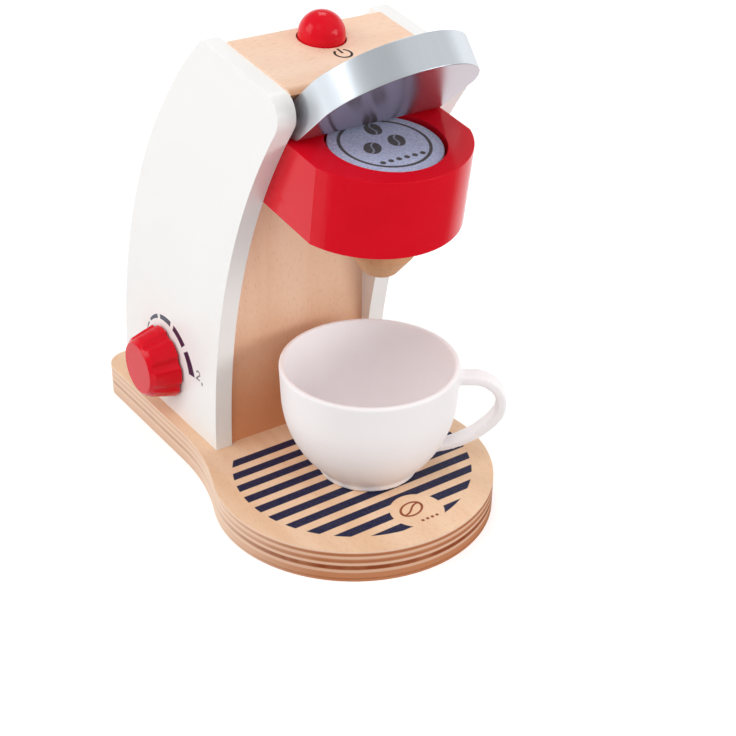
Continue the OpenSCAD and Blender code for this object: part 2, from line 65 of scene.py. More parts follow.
POD = Vector(JOINTS["pod_turn"]["pos_m"])
HEAD_UP = Vector(JOINTS["pod_turn"]["axis"])
TILT = atan2(-HEAD_UP.y, HEAD_UP.z)
KNOB = Vector(JOINTS["knob_turn"]["pos_m"])
LID_OPEN = radians(-JOINTS["lid_hinge"]["range_deg"][0])

# Edge rounding
BASE_ROUND = 0.9 * MM
PANEL_ROUND = 0.9 * MM
HEAD_ROUND = 1.1 * MM
LID_ROUND = 0.9 * MM
KNOB_ROUND = 0.8 * MM
SMALL_ROUND = 0.4 * MM

# Base edge: dark and pale layers, each from a height to a height above the underside, with its strength; the
# last pale band, at the rounded top edge, is a painted highlight.
PLY_DARK = ((0.9, 1.7, 0.45), (5.9, 7.7, 1), (9.3, 10.5, 0.4), (12.6, 13.6, 0.4))
PLY_PALE_AND_TOP_HIGHLIGHT = ((4.3, 5.7, 0.45), (7.9, 9.1, 0.55), (11.1, 12.4, 0.5), (14, 16, 0.8))

# Printed grille on the tray
GRILLE_R = 51.9 * MM
GRILLE_X = 0.5 * MM
GRILLE_Y = TRAY_Y + 1.2 * MM
GRILLE_PITCH = 8.7 * MM
GRILLE_LINE = 4.7 * MM
GRILLE_REAR = TRAY_Y + 33.3 * MM
GRILLE_SLANT = 0.0165
BADGE_X = 4.2 * MM
BADGE_Y = TRAY_Y - 41.5 * MM
BADGE_R = 11.5 * MM
BADGE_LINE = 0.9 * MM
BADGE_BEAN = (6.2 * MM, 4.3 * MM)
BADGE_DOTS_Y = -7 * MM

# Printed power sign on the top board
SIGN_BACK = 32 * MM
SIGN_R = 3.3 * MM
SIGN_LINE = 1 * MM

# Printed pod face
POD_RING_R = 17.4 * MM
POD_RING_Y = 0.5 * MM
POD_RING_LINE = 1.3 * MM
BEAN_LEN = 8.8 * MM
BEAN_WIDTH = 6.8 * MM
BEANS = {72: (2.2 * MM, 11.5 * MM), 50: (-6.3 * MM, -0.6 * MM), 62: (5.5 * MM, 0.6 * MM)}
DOT_PITCH = 3.6 * MM
DOT_R = 1.15 * MM
DOT_ROW_Y = -11.4 * MM

# Printed scale round the knob
SCALE_FROM = radians(27)
SCALE_TO = radians(172)
SCALE_PITCH = radians(32.5)
SCALE_GAP = radians(6.5)
SCALE_R = 18.6 * MM
SCALE_GROW = 1.35 * MM
SCALE_THIN = 0.5 * MM
SCALE_THICKEN = 1.9 * MM
SCALE_MARK = tuple((y * MM, z * MM) for y, z in (
    (-29.1, 8), (-30.2, 8.9), (-31.6, 8.6), (-31.9, 7.4), (-28.5, 4.5), (-31.5, 4.7)))
SCALE_DOT = (-33.6 * MM, 4.0 * MM)
SCALE_MARK_LINE = 0.75 * MM

# Camera
CAMERA_TURN = radians(-35.126)
CAMERA_RISE = radians(30.383)
CAMERA_ROLL = radians(0.95)
CAMERA_AWAY = 630.5 * MM
CAMERA_AIM = Vector((6.8, -42.6, 62.5)) * MM
CAMERA_LENS = 73.4

# The studio round the object, as directions seen from above
VIEW_FROM = radians(-90) + CAMERA_TURN
LEFT_WALL = VIEW_FROM - radians(110)
RIGHT_WALL = VIEW_FROM + radians(160)
RIGHT_FRONT = VIEW_FROM + radians(75)
WALL_TOP = 0.36
DIM_LIGHT = 0.45
SIDE_LIGHT = 0.65
FRONT_LIGHT = 0.25
FLOOR_GREY = 0.6
FLOOR_DIM = 0.12
FLOOR_GLOW = 0.55
FAR_GLOW = 0.3
FAR_AWAY = 1.2
FAR_BLUR = 0.7
LAMP_AIM = Vector((0, -0.02, 0.1))


def tint(red, green, blue):
    """A colour given as 0 to 255 on a screen, as Blender's linear values."""
    def linear(value):
        value /= 255
        return value / 12.92 if value <= 0.04045 else ((value + 0.055) / 1.055) ** 2.4
    return (linear(red), linear(green), linear(blue), 1)


def grey(value):
    return (value, value, value, 1)


# ---------------------------------------------------------------- writing shader nodes
def feed(tree, socket, value):
    if isinstance(value, bpy.types.NodeSocket):
        tree.links.new(value, socket)
    else:
        socket.default_value = value


def add(tree, kind, inputs=None, **settings):
    """A shader node with its settings, and its inputs given by name or number."""
    made = tree.nodes.new("ShaderNode" + kind)
    for name, value in settings.items():
        setattr(made, name, value)
    for name, value in (inputs or {}).items():
        feed(tree, made.inputs[name], value)
    return made


def calc(tree, operation, *values):
    return add(tree, "Math", dict(enumerate(values)), operation=operation).outputs[0]


def hypot(tree, first, second):
    squares = calc(tree, "MULTIPLY_ADD", first, first, calc(tree, "MULTIPLY", second, second))
    return calc(tree, "SQRT", squares)


def both(tree, *masks):
    result = masks[0]
    for mask in masks[1:]:
        result = calc(tree, "MULTIPLY", result, mask)
    return result


def either(tree, *masks):
    result = masks[0]
    for mask in masks[1:]:
        result = calc(tree, "MAXIMUM", result, mask)
    return result


def soft_step(tree, value, edge, blur):
    """0 below the edge and 1 above it, blurred like ink."""
    return add(tree, "MapRange", {"Value": value, "From Min": edge - blur, "From Max": edge + blur},
               interpolation_type="SMOOTHSTEP").outputs[0]


def between(tree, value, low, high, blur):
    return both(tree, soft_step(tree, value, low, blur),
                calc(tree, "SUBTRACT", 1, soft_step(tree, value, high, blur)))


def mix(tree, mask, first, second, blend="MIX"):
    made = add(tree, "Mix", {0: mask, 6: first, 7: second}, data_type="RGBA", blend_type=blend)
    return made.outputs[2]


def cloud(tree, vector, scale, detail=2, rough=0.5):
    settings = {"Vector": vector, "Scale": scale, "Detail": detail, "Roughness": rough}
    return add(tree, "TexNoise", settings).outputs[0]


def placed(tree, vector, move=(0, 0, 0), turn=(0, 0, 0), size=(1, 1, 1), kind="POINT"):
    return add(tree, "Mapping", {"Vector": vector, "Location": move, "Rotation": turn, "Scale": size},
               vector_type=kind).outputs[0]


def parts_of(tree, vector):
    return add(tree, "SeparateXYZ", {0: vector}).outputs


def bump(tree, height, strength, depth):
    return add(tree, "Bump", {"Height": height, "Strength": strength, "Distance": depth}).outputs[0]


def new_group(name, inputs, outputs):
    """A node group with named inputs and outputs; returns its tree, its input sockets and its output node."""
    tree = bpy.data.node_groups.new(name, "ShaderNodeTree")
    kinds = {"vector": "NodeSocketVector", "colour": "NodeSocketColor", "value": "NodeSocketFloat"}
    for socket, kind in inputs.items():
        tree.interface.new_socket(socket, in_out="INPUT", socket_type=kinds[kind])
    for socket, kind in outputs.items():
        tree.interface.new_socket(socket, in_out="OUTPUT", socket_type=kinds[kind])
    return tree, tree.nodes.new("NodeGroupInput").outputs, tree.nodes.new("NodeGroupOutput").inputs


def use(tree, group, **inputs):
    """Places a group in a material; input names have spaces where the keywords have underscores."""
    made = tree.nodes.new("ShaderNodeGroup")
    made.node_tree = group
    for name, value in inputs.items():
        feed(tree, made.inputs[name.replace("_", " ")], value)
    return made.outputs


def new_material(name):
    """A material with its tree, its Principled shader and the object's own coordinates."""
    material = bpy.data.materials.new(name)
    material.use_nodes = True
    tree = material.node_tree
    shader = tree.nodes["Principled BSDF"]
    here = add(tree, "TexCoord").outputs["Object"]
    return material, tree, shader, here


# ---------------------------------------------------------------- shared effects
def make_beech_grain():
    """Beech with its grain along X: soft bands, fine fibres and short dark flecks."""
    tree, given, result = new_group(
        "beech_grain",
        {"Vector": "vector", "Pale": "colour", "Deep": "colour", "Fleck": "colour", "Band": "value"},
        {"Color": "colour", "Roughness": "value", "Height": "value"})
    bands = cloud(tree, placed(tree, given["Vector"], size=(5, 70, 70)), 1, 3, 0.55)
    fibres = cloud(tree, placed(tree, given["Vector"], size=(55, 1500, 1500)), 1, 2, 0.6)
    flecks = cloud(tree, placed(tree, given["Vector"], size=(330, 1500, 1500)), 1, 1, 0.4)
    fleck = soft_step(tree, flecks, 0.63, 0.045)
    band = calc(tree, "MULTIPLY", soft_step(tree, bands, 0.5, 0.2), given["Band"])
    colour = mix(tree, band, given["Pale"], given["Deep"])
    colour = mix(tree, calc(tree, "MULTIPLY", fibres, 0.22), colour, given["Deep"])
    colour = mix(tree, calc(tree, "MULTIPLY", fleck, 0.2), colour, given["Fleck"])
    feed(tree, result["Color"], colour)
    feed(tree, result["Roughness"], calc(tree, "ADD", 0.40, calc(tree, "MULTIPLY", fibres, 0.16)))
    feed(tree, result["Height"], calc(tree, "SUBTRACT", calc(tree, "MULTIPLY", fibres, 0.4), fleck))
    return tree


def make_ply_layers():
    """The edge of plywood: dark and pale layers by height, and a painted highlight along its rounded top edge.

    The sides show pale long grain, and the front deep end grain, where the layers show most.
    """
    tree, given, result = new_group(
        "ply_layers",
        {"Vector": "vector", "Normal": "vector", "Long": "colour", "End": "colour", "Glue": "colour"},
        {"Color": "colour", "Height": "value"})
    z = parts_of(tree, given["Vector"])[2]
    waves = cloud(tree, given["Vector"], 22, 2)
    z = calc(tree, "MULTIPLY_ADD", waves, 0.6 * MM, calc(tree, "SUBTRACT", z, 0.3 * MM))
    along = parts_of(tree, given["Normal"])[1]
    end = add(tree, "MapRange", {"Value": along, "From Min": 0.25, "From Max": -0.7}).outputs[0]
    patches = cloud(tree, given["Vector"], 110, 2)
    patchy = add(tree, "MapRange", {"Value": patches, "From Min": 0.25, "From Max": 0.55,
                                    "To Min": 0.6}).outputs[0]

    def layers(bands):
        return either(tree, *(calc(tree, "MULTIPLY", between(tree, z, low * MM, high * MM, 0.3 * MM), strength)
                              for low, high, strength in bands))

    dark = layers(PLY_DARK)
    pores = cloud(tree, given["Vector"], 1700, 2, 0.6)
    fibres = cloud(tree, placed(tree, given["Vector"], size=(90, 90, 1900)), 1, 2, 0.6)
    grain = add(tree, "MapRange", {"Value": end, "To Min": fibres, "To Max": pores}).outputs[0]
    colour = mix(tree, end, given["Long"], given["End"])
    colour = mix(tree, calc(tree, "MULTIPLY", grain, 0.22), colour, given["End"])
    # Pale layers, and the painted highlight along the top edge.
    colour = mix(tree, layers(PLY_PALE_AND_TOP_HIGHLIGHT), colour, given["Long"])
    shown = add(tree, "MapRange", {"Value": end, "To Min": 0.1, "To Max": 0.95}).outputs[0]
    colour = mix(tree, both(tree, dark, shown, patchy), colour, given["Glue"])
    feed(tree, result["Color"], colour)
    feed(tree, result["Height"], calc(tree, "SUBTRACT", calc(tree, "MULTIPLY", grain, 0.6), dark))
    return tree


def make_lacquer_film():
    """The slight waves of a sprayed coat over wood, as a height and a gloss change."""
    tree, given, result = new_group(
        "lacquer_film", {"Vector": "vector", "Gloss": "value"}, {"Roughness": "value", "Height": "value"})
    waves = cloud(tree, given["Vector"], 260, 2, 0.45)
    dust = soft_step(tree, cloud(tree, given["Vector"], 1300, 1, 0.4), 0.68, 0.05)
    feed(tree, result["Roughness"], calc(tree, "ADD", given["Gloss"], calc(tree, "MULTIPLY", waves, 0.08)))
    feed(tree, result["Height"], calc(tree, "ADD", waves, calc(tree, "MULTIPLY", dust, 0.15)))
    return tree


def make_bean():
    """One printed coffee bean at the vector's origin, lying along X, with an S-shaped crease."""
    tree, given, result = new_group("bean", {"Vector": "vector"}, {"Mask": "value"})
    x, y, _ = parts_of(tree, given["Vector"])
    along = calc(tree, "DIVIDE", x, BEAN_LEN / 2)
    across = calc(tree, "DIVIDE", y, BEAN_WIDTH / 2)
    reach = calc(tree, "ADD", calc(tree, "POWER", calc(tree, "ABSOLUTE", along), 2.4),
                 calc(tree, "POWER", calc(tree, "ABSOLUTE", across), 2.0))
    wave = calc(tree, "MULTIPLY", calc(tree, "SINE", calc(tree, "MULTIPLY", along, 3.1)), 0.22)
    crease = calc(tree, "ABSOLUTE", calc(tree, "SUBTRACT", across, wave))
    inside = calc(tree, "SUBTRACT", 1, soft_step(tree, reach, 1, 0.12))
    solid = add(tree, "MapRange", {"Value": soft_step(tree, crease, 0.1, 0.07), "To Min": 0.45}).outputs[0]
    feed(tree, result["Mask"], both(tree, inside, solid))
    return tree


def make_surroundings():
    """How bright the studio is by direction: dim behind the camera, bright at the sides and the back."""
    tree, given, result = new_group("surroundings", {"Vector": "vector"}, {"Side": "value", "Front": "value"})
    level = add(tree, "VectorMath", {0: given["Vector"], 1: (1, 1, 0)}, operation="MULTIPLY").outputs[0]
    level = add(tree, "VectorMath", {0: level}, operation="NORMALIZE").outputs[0]

    def toward(turn, edge, blur):
        along = add(tree, "VectorMath", {0: level, 1: (cos(turn), sin(turn), 0)}, operation="DOT_PRODUCT")
        return soft_step(tree, along.outputs["Value"], edge, blur)

    feed(tree, result["Side"], either(tree, toward(LEFT_WALL, 0.56, 0.06), toward(RIGHT_WALL, 0.75, 0.15)))
    feed(tree, result["Front"], toward(RIGHT_FRONT, 0.6, 0.2))
    return tree


SURROUNDINGS = make_surroundings()
BEECH_GRAIN = make_beech_grain()
PLY_LAYERS = make_ply_layers()
LACQUER_FILM = make_lacquer_film()
BEAN = make_bean()

PALE_BEECH = tint(243, 210, 179)
DEEP_BEECH = tint(231, 188, 150)
FLECK_BEECH = tint(206, 154, 116)
WARM_BEECH = tint(222, 170, 128)
WARM_DEEP = tint(198, 140, 98)
WARM_FLECK = tint(156, 100, 66)
INK = tint(30, 35, 68)
BROWN_INK = tint(150, 72, 40)
GREY_INK = tint(120, 118, 122)
BLACK_INK = tint(36, 32, 34)


# ---------------------------------------------------------------- finishes
def beech(name, turn=(0, 0, 0), pale=PALE_BEECH, deep=DEEP_BEECH, fleck=FLECK_BEECH, band=0.7, overlay=None,
          shine=0.15):
    """Lacquered beech. turn brings the grain to X; the function given for overlays returns a mask and colour
    laid over the wood: ink, and on the top and front boards painted shade.
    """
    material, tree, shader, here = new_material(name)
    wood = use(tree, BEECH_GRAIN, Vector=placed(tree, here, turn=turn),
               Pale=pale, Deep=deep, Fleck=fleck, Band=band)
    colour = wood["Color"]
    if overlay:
        mask, ink = overlay(tree, here)
        colour = mix(tree, mask, colour, ink)
    feed(tree, shader.inputs["Base Color"], colour)
    feed(tree, shader.inputs["Roughness"], wood["Roughness"])
    feed(tree, shader.inputs["Normal"], bump(tree, wood["Height"], 0.25, 0.12 * MM))
    shader.inputs["Specular IOR Level"].default_value = shine
    return material


def ply_edge():
    material, tree, shader, here = new_material("ply_edge")
    outward = add(tree, "TexCoord").outputs["Normal"]
    layers = use(tree, PLY_LAYERS, Vector=here, Normal=outward,
                 Long=tint(251, 222, 197), End=tint(200, 134, 94), Glue=tint(140, 66, 34))
    feed(tree, shader.inputs["Base Color"], layers["Color"])
    feed(tree, shader.inputs["Normal"], bump(tree, layers["Height"], 0.3, 0.15 * MM))
    shader.inputs["Roughness"].default_value = 0.5
    shader.inputs["Specular IOR Level"].default_value = 0.15
    return material


def distance(tree, here, spot):
    return add(tree, "VectorMath", {0: here, 1: spot}, operation="DISTANCE").outputs["Value"]


def stroke(tree, u, v, start, end, half):
    """A round-ended line between two points of a plane."""
    way = (end[0] - start[0], end[1] - start[1])
    length = way[0] ** 2 + way[1] ** 2
    u = calc(tree, "SUBTRACT", u, start[0])
    v = calc(tree, "SUBTRACT", v, start[1])
    share = calc(tree, "ADD", calc(tree, "MULTIPLY", u, way[0] / length),
                 calc(tree, "MULTIPLY", v, way[1] / length))
    share = add(tree, "Clamp", {0: share}).outputs[0]
    off = hypot(tree, calc(tree, "SUBTRACT", u, calc(tree, "MULTIPLY", share, way[0])),
                calc(tree, "SUBTRACT", v, calc(tree, "MULTIPLY", share, way[1])))
    return between(tree, off, -1, half, 0.12 * MM)


def dot_row(tree, x, y, pitch, radius, count):
    """A straight row of dots along X."""
    step = calc(tree, "SUBTRACT", calc(tree, "FRACT", calc(tree, "DIVIDE", x, pitch)), 0.5)
    dot = hypot(tree, calc(tree, "MULTIPLY", step, pitch), y)
    half = count * pitch / 2
    return both(tree, between(tree, dot, -1, radius, 0.15 * MM), between(tree, x, -half, half, 0.1 * MM))


def badge_print(tree, here):
    """A coffee bean in outline, with a row of dots before it."""
    flat = placed(tree, here, move=(-BADGE_X, -BADGE_Y, 0))
    bean = placed(tree, placed(tree, flat, move=(1.5 * MM, -2 * MM, 0)), turn=(0, 0, radians(-20)))
    x, y, _ = parts_of(tree, bean)
    round_it = hypot(tree, calc(tree, "DIVIDE", x, BADGE_BEAN[0]), calc(tree, "DIVIDE", y, BADGE_BEAN[1]))
    line = BADGE_LINE / BADGE_BEAN[1]
    outline = between(tree, round_it, 1 - line, 1, 0.04)
    wave = calc(tree, "MULTIPLY", calc(tree, "SINE", calc(tree, "DIVIDE", x, 2.1 * MM)), 0.9 * MM)
    off = calc(tree, "SUBTRACT", y, wave)
    crease = both(tree, between(tree, off, -BADGE_LINE / 2, BADGE_LINE / 2, 0.12 * MM),
                  between(tree, round_it, -1, 0.9, 0.04))
    x, y, _ = parts_of(tree, placed(tree, flat, move=(-1.5 * MM, -BADGE_DOTS_Y, 0)))
    return either(tree, outline, crease, dot_row(tree, x, y, 2.4 * MM, 0.75 * MM, 4))


def grille_print(tree, here):
    """Cross stripes inside a circle on the tray, with a round place at the front that holds the badge."""
    x, y, z = parts_of(tree, here)
    from_tray = distance(tree, here, (GRILLE_X, GRILLE_Y, BASE_T))
    from_badge = distance(tree, here, (BADGE_X, BADGE_Y, BASE_T))
    slanted = calc(tree, "MULTIPLY_ADD", x, GRILLE_SLANT, GRILLE_REAR)
    row = calc(tree, "DIVIDE", calc(tree, "SUBTRACT", slanted, y), GRILLE_PITCH)
    stripe = between(tree, calc(tree, "FRACT", row), 0.02, GRILLE_LINE / GRILLE_PITCH, 0.02)
    mask = both(tree, stripe, soft_step(tree, row, 0, 0.01),
                calc(tree, "SUBTRACT", 1, soft_step(tree, from_tray, GRILLE_R, 0.15 * MM)),
                soft_step(tree, from_badge, BADGE_R, 0.15 * MM))
    worn = calc(tree, "ADD", 0.95, calc(tree, "MULTIPLY", cloud(tree, here, 900, 2), 0.08))
    badge = badge_print(tree, here)
    top = soft_step(tree, z, BASE_T - 0.05 * MM, 0.03 * MM)
    return both(tree, either(tree, mask, badge), worn, top), mix(tree, badge, INK, BROWN_INK)


def board_foot_painted_shade(tree, here):
    """Painted shade: the board's wood turns darker and more orange towards its foot, standing in for the cup's
    shadow and the warm bounce light in the corner.
    """
    z = calc(tree, "MULTIPLY_ADD", cloud(tree, here, 40, 2), 16 * MM, parts_of(tree, here)[2])
    share = calc(tree, "SUBTRACT", 1, soft_step(tree, z, 62 * MM, 30 * MM))
    return calc(tree, "MULTIPLY", share, 0.85), tint(218, 142, 94)


def power_sign_and_front_shade(tree, here):
    """A power sign, an open ring and a bar towards the button; and painted shade, darker warm wood on the faces
    that look forward at the board's rounded front.
    """
    flat = placed(tree, placed(tree, here, move=-POD), turn=(-TILT, 0, 0))
    x, y, _ = parts_of(tree, placed(tree, flat, move=(0, -SIGN_BACK, 0)))
    radius = hypot(tree, x, y)
    angle = calc(tree, "ABSOLUTE", calc(tree, "ARCTAN2", x, y))
    ring = both(tree, between(tree, radius, SIGN_R - SIGN_LINE / 2, SIGN_R + SIGN_LINE / 2, 0.1 * MM),
                soft_step(tree, angle, radians(32), 0.03))
    bar = both(tree, between(tree, x, -SIGN_LINE / 2, SIGN_LINE / 2, 0.1 * MM),
               between(tree, y, 0.2 * MM, SIGN_R + SIGN_LINE, 0.1 * MM))
    sign = either(tree, ring, bar)
    # Painted shade: faces that look forward are coloured darker and warmer, as if in shadow.
    ahead = calc(tree, "MULTIPLY", parts_of(tree, add(tree, "TexCoord").outputs["Normal"])[1], -1)
    front_shade = calc(tree, "MULTIPLY", soft_step(tree, ahead, 0.4, 0.2), 0.75)
    return either(tree, sign, front_shade), mix(tree, sign, WARM_DEEP, BLACK_INK)


def scale_print(tree, here):
    """A broken arc round the knob, wider towards the front, and a small number 2 with a dot."""
    x, y, z = parts_of(tree, placed(tree, here, move=-KNOB))
    radius = hypot(tree, y, z)
    angle = calc(tree, "ARCTAN2", z, y)
    turned = calc(tree, "SUBTRACT", angle, SCALE_FROM)
    inner = calc(tree, "ADD", SCALE_R, calc(tree, "MULTIPLY", turned, SCALE_GROW))
    wide = calc(tree, "ADD", SCALE_THIN, calc(tree, "MULTIPLY", turned, SCALE_THICKEN))
    past_inner = soft_step(tree, calc(tree, "SUBTRACT", radius, inner), 0, 0.1 * MM)
    past_outer = soft_step(tree, calc(tree, "SUBTRACT", radius, calc(tree, "ADD", inner, wide)), 0, 0.1 * MM)
    ring = both(tree, past_inner, calc(tree, "SUBTRACT", 1, past_outer))
    dash = calc(tree, "FRACT", calc(tree, "DIVIDE", calc(tree, "SUBTRACT", turned, radians(18)), SCALE_PITCH))
    gap = SCALE_GAP / SCALE_PITCH / 2
    arc = both(tree, ring, between(tree, angle, SCALE_FROM, SCALE_TO, 0.01),
               between(tree, dash, gap, 1 - gap, 0.015))
    number = either(tree, *(stroke(tree, y, z, start, end, SCALE_MARK_LINE / 2)
                            for start, end in zip(SCALE_MARK, SCALE_MARK[1:])),
                    stroke(tree, y, z, SCALE_DOT, (SCALE_DOT[0], SCALE_DOT[1] - 0.3 * MM), 0.7 * MM))
    outside = soft_step(tree, calc(tree, "MULTIPLY", x, -1), -0.3 * MM, 0.1 * MM)
    return both(tree, either(tree, arc, number), outside), mix(tree, number, INK, GREY_INK)


def white_paint(name, overlay=None):
    """Satin white paint, in which the wood's grain just shows."""
    material, tree, shader, here = new_material(name)
    film = use(tree, LACQUER_FILM, Vector=here, Gloss=0.30)
    grain = cloud(tree, placed(tree, here, size=(700, 700, 30)), 1, 2, 0.6)
    tone = calc(tree, "MULTIPLY", cloud(tree, here, 45, 3), 0.5)
    colour = mix(tree, tone, tint(248, 247, 245), tint(241, 240, 238))
    if overlay:
        mask, ink = overlay(tree, here)
        colour = mix(tree, mask, colour, ink)
    feed(tree, shader.inputs["Base Color"], colour)
    feed(tree, shader.inputs["Roughness"], film["Roughness"])
    waves = calc(tree, "MULTIPLY", film["Height"], 0.5)
    height = calc(tree, "ADD", waves, calc(tree, "MULTIPLY", grain, 0.35))
    feed(tree, shader.inputs["Normal"], bump(tree, height, 0.12, 0.1 * MM))
    return material


def red_paint():
    material, tree, shader, here = new_material("red_paint")
    film = use(tree, LACQUER_FILM, Vector=here, Gloss=0.13)
    colour = mix(tree, cloud(tree, here, 60, 3), tint(226, 12, 36), tint(216, 9, 31))
    feed(tree, shader.inputs["Base Color"], colour)
    feed(tree, shader.inputs["Roughness"], film["Roughness"])
    feed(tree, shader.inputs["Normal"], bump(tree, film["Height"], 0.1, 0.12 * MM))
    shader.inputs["Specular IOR Level"].default_value = 0.2
    return material


def silver_paint(name, pale, deep, gloss, brushed):
    """Metallic lacquer: fine flake, and on the rim faint brush lines across its thickness."""
    material, tree, shader, here = new_material(name)
    flat = placed(tree, here, turn=(LID_OPEN - TILT, 0, 0))
    flake = cloud(tree, here, 4200, 1, 0.5)
    lines = cloud(tree, placed(tree, flat, size=(900, 900, 25)), 1, 2, 0.6)
    tone = calc(tree, "ADD", calc(tree, "MULTIPLY", flake, 0.35), calc(tree, "MULTIPLY", lines, brushed))
    feed(tree, shader.inputs["Base Color"], mix(tree, tone, pale, deep))
    rough = calc(tree, "ADD", gloss, calc(tree, "MULTIPLY", lines, brushed * 0.15))
    feed(tree, shader.inputs["Roughness"], rough)
    feed(tree, shader.inputs["Normal"], bump(tree, lines, 0.12 * brushed, 0.1 * MM))
    shader.inputs["Metallic"].default_value = 0.85
    return material


def pod_print(tree, here):
    """A ring, three beans and a row of dots, seen square to the pod's face."""
    flat = placed(tree, placed(tree, here, move=-POD), turn=(-TILT, 0, 0))
    x, y, _ = parts_of(tree, flat)
    radius = hypot(tree, x, calc(tree, "SUBTRACT", y, POD_RING_Y))
    mask = between(tree, radius, POD_RING_R - POD_RING_LINE / 2, POD_RING_R + POD_RING_LINE / 2, 0.12 * MM)
    for turn, (right, rear) in BEANS.items():
        bean = placed(tree, placed(tree, flat, move=(-right, -rear, 0)), turn=(0, 0, -radians(turn)))
        mask = either(tree, mask, use(tree, BEAN, Vector=bean)["Mask"])
    return either(tree, mask, dot_row(tree, x, calc(tree, "SUBTRACT", y, DOT_ROW_Y), DOT_PITCH, DOT_R, 6))


def printed_felt():
    material, tree, shader, here = new_material("printed_felt")
    fibres = cloud(tree, placed(tree, here, size=(1, 0.45, 1)), 2600, 3, 0.7)
    tufts = cloud(tree, here, 650, 3, 0.6)
    colour = mix(tree, soft_step(tree, fibres, 0.5, 0.16), tint(148, 160, 204), tint(220, 226, 248))
    colour = mix(tree, calc(tree, "MULTIPLY", tufts, 0.4), colour, tint(160, 172, 210))
    ink = both(tree, pod_print(tree, here), soft_step(tree, fibres, 0.30, 0.08))
    colour = mix(tree, ink, colour, tint(44, 34, 44))
    feed(tree, shader.inputs["Base Color"], colour)
    feed(tree, shader.inputs["Normal"], bump(tree, calc(tree, "ADD", fibres, tufts), 0.7, 0.25 * MM))
    shader.inputs["Roughness"].default_value = 0.95
    shader.inputs["Sheen Weight"].default_value = 0.3
    return material


def dark_felt():
    material, tree, shader, here = new_material("dark_felt")
    fibres = cloud(tree, here, 2400, 3, 0.7)
    feed(tree, shader.inputs["Base Color"], mix(tree, fibres, tint(38, 38, 40), tint(70, 70, 74)))
    feed(tree, shader.inputs["Normal"], bump(tree, fibres, 0.6, 0.2 * MM))
    shader.inputs["Roughness"].default_value = 0.95
    return material


def cup_white():
    """Smooth moulded white, very slightly warm, with the faint mottle of the mould."""
    material, tree, shader, here = new_material("cup_white")
    film = use(tree, LACQUER_FILM, Vector=here, Gloss=0.42)
    mottle = cloud(tree, here, 38, 3, 0.5)
    feed(tree, shader.inputs["Base Color"], mix(tree, mottle, tint(252, 248, 249), tint(248, 243, 244)))
    feed(tree, shader.inputs["Roughness"], film["Roughness"])
    feed(tree, shader.inputs["Normal"], bump(tree, film["Height"], 0.06, 0.1 * MM))
    shader.inputs["Coat Weight"].default_value = 0.08
    shader.inputs["Coat Roughness"].default_value = 0.3
    return material


def steel():
    material, tree, shader, here = new_material("steel")
    lines = cloud(tree, placed(tree, here, size=(400, 2600, 2600)), 1, 2, 0.6)
    feed(tree, shader.inputs["Base Color"], mix(tree, lines, tint(196, 196, 198), tint(168, 168, 172)))
    feed(tree, shader.inputs["Roughness"], calc(tree, "ADD", 0.24, calc(tree, "MULTIPLY", lines, 0.2)))
    feed(tree, shader.inputs["Normal"], bump(tree, lines, 0.1, 0.05 * MM))
    shader.inputs["Metallic"].default_value = 1
    return material


ACROSS = (0, 0, 0)
LENGTHWISE = (0, 0, radians(-90))
UPRIGHT = (0, radians(90), 0)

TRAY_WOOD = beech("tray_beech", LENGTHWISE, overlay=grille_print)
UNDER_WOOD = beech("under_beech", LENGTHWISE)
# The top board's beech carries the power sign and painted shade on its faces that look forward.
TOP_WOOD_PAINTED_SHADE = beech("top_beech_painted_shade", ACROSS, pale=tint(249, 217, 194), deep=tint(240, 200, 170), overlay=power_sign_and_front_shade)
# The front and back boards' beech carries painted shade towards their foot.
BOARD_WOOD_PAINTED_SHADE = beech("board_beech_painted_shade", UPRIGHT, pale=tint(246, 212, 184), deep=tint(236, 192, 158), overlay=board_foot_painted_shade)
WARM_WOOD = beech("warm_beech", UPRIGHT, WARM_BEECH, WARM_DEEP, WARM_FLECK)
PLY_EDGE = ply_edge()
WHITE = white_paint("white_paint")
WHITE_DIAL = white_paint("white_dial_paint", scale_print)
RED = red_paint()
SILVER_RIM = silver_paint("silver_rim", tint(226, 232, 238), tint(196, 204, 212), 0.28, 0.25)
# The lid's mirror underside is darker and pinker than silver: a painted reflection of the red head.
SILVER_FACE_PINK_REFLECTION = silver_paint("silver_face_pink_reflection", tint(190, 176, 186), tint(174, 160, 172), 0.2, 0.25)
FELT = printed_felt()
DARK_FELT = dark_felt()
CUP_WHITE = cup_white()
STEEL = steel()


# ---------------------------------------------------------------- shapes
def shape_of(node):
    """A merged copy of a node's mesh, its flat faces whole again."""
    shape = bmesh.new()
    shape.from_mesh(frame["nodes"][node].data)
    bmesh.ops.remove_doubles(shape, verts=shape.verts, dist=0.002 * MM)
    bmesh.ops.dissolve_limit(shape, angle_limit=radians(0.1), verts=shape.verts, edges=shape.edges)
    return shape


def piece(shape, name, body, finishes, node=None):
    """Turns a shape into a named piece that rides on a body, and stands for a node if one is given."""
    mesh = bpy.data.meshes.new(name)
    shape.to_mesh(mesh)
    shape.free()
    for finish in finishes:
        mesh.materials.append(finish)
    mesh.shade_smooth()
    made = bpy.data.objects.new(name, mesh)
    bpy.context.scene.collection.objects.link(made)
    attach(made, body)
    if node:
        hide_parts(node)
    return made


def round_edges(made, width, steps=3, sharp=28):
    """Rounds each edge sharper than an angle and keeps the flats flat."""
    made.data.set_sharp_from_angle(angle=radians(sharp))
    edge = made.modifiers.new("rounded", "BEVEL")
    edge.width = width
    edge.segments = steps
    edge.limit_method = "ANGLE"
    edge.angle_limit = radians(sharp)
    edge.harden_normals = True
    edge.material = -1
    return made


def finish_by_way(shape, way, share=0.5):
    """Gives faces that look along a direction the second finish."""
    for face in shape.faces:
        face.material_index = 1 if face.normal.dot(way) > share else 0


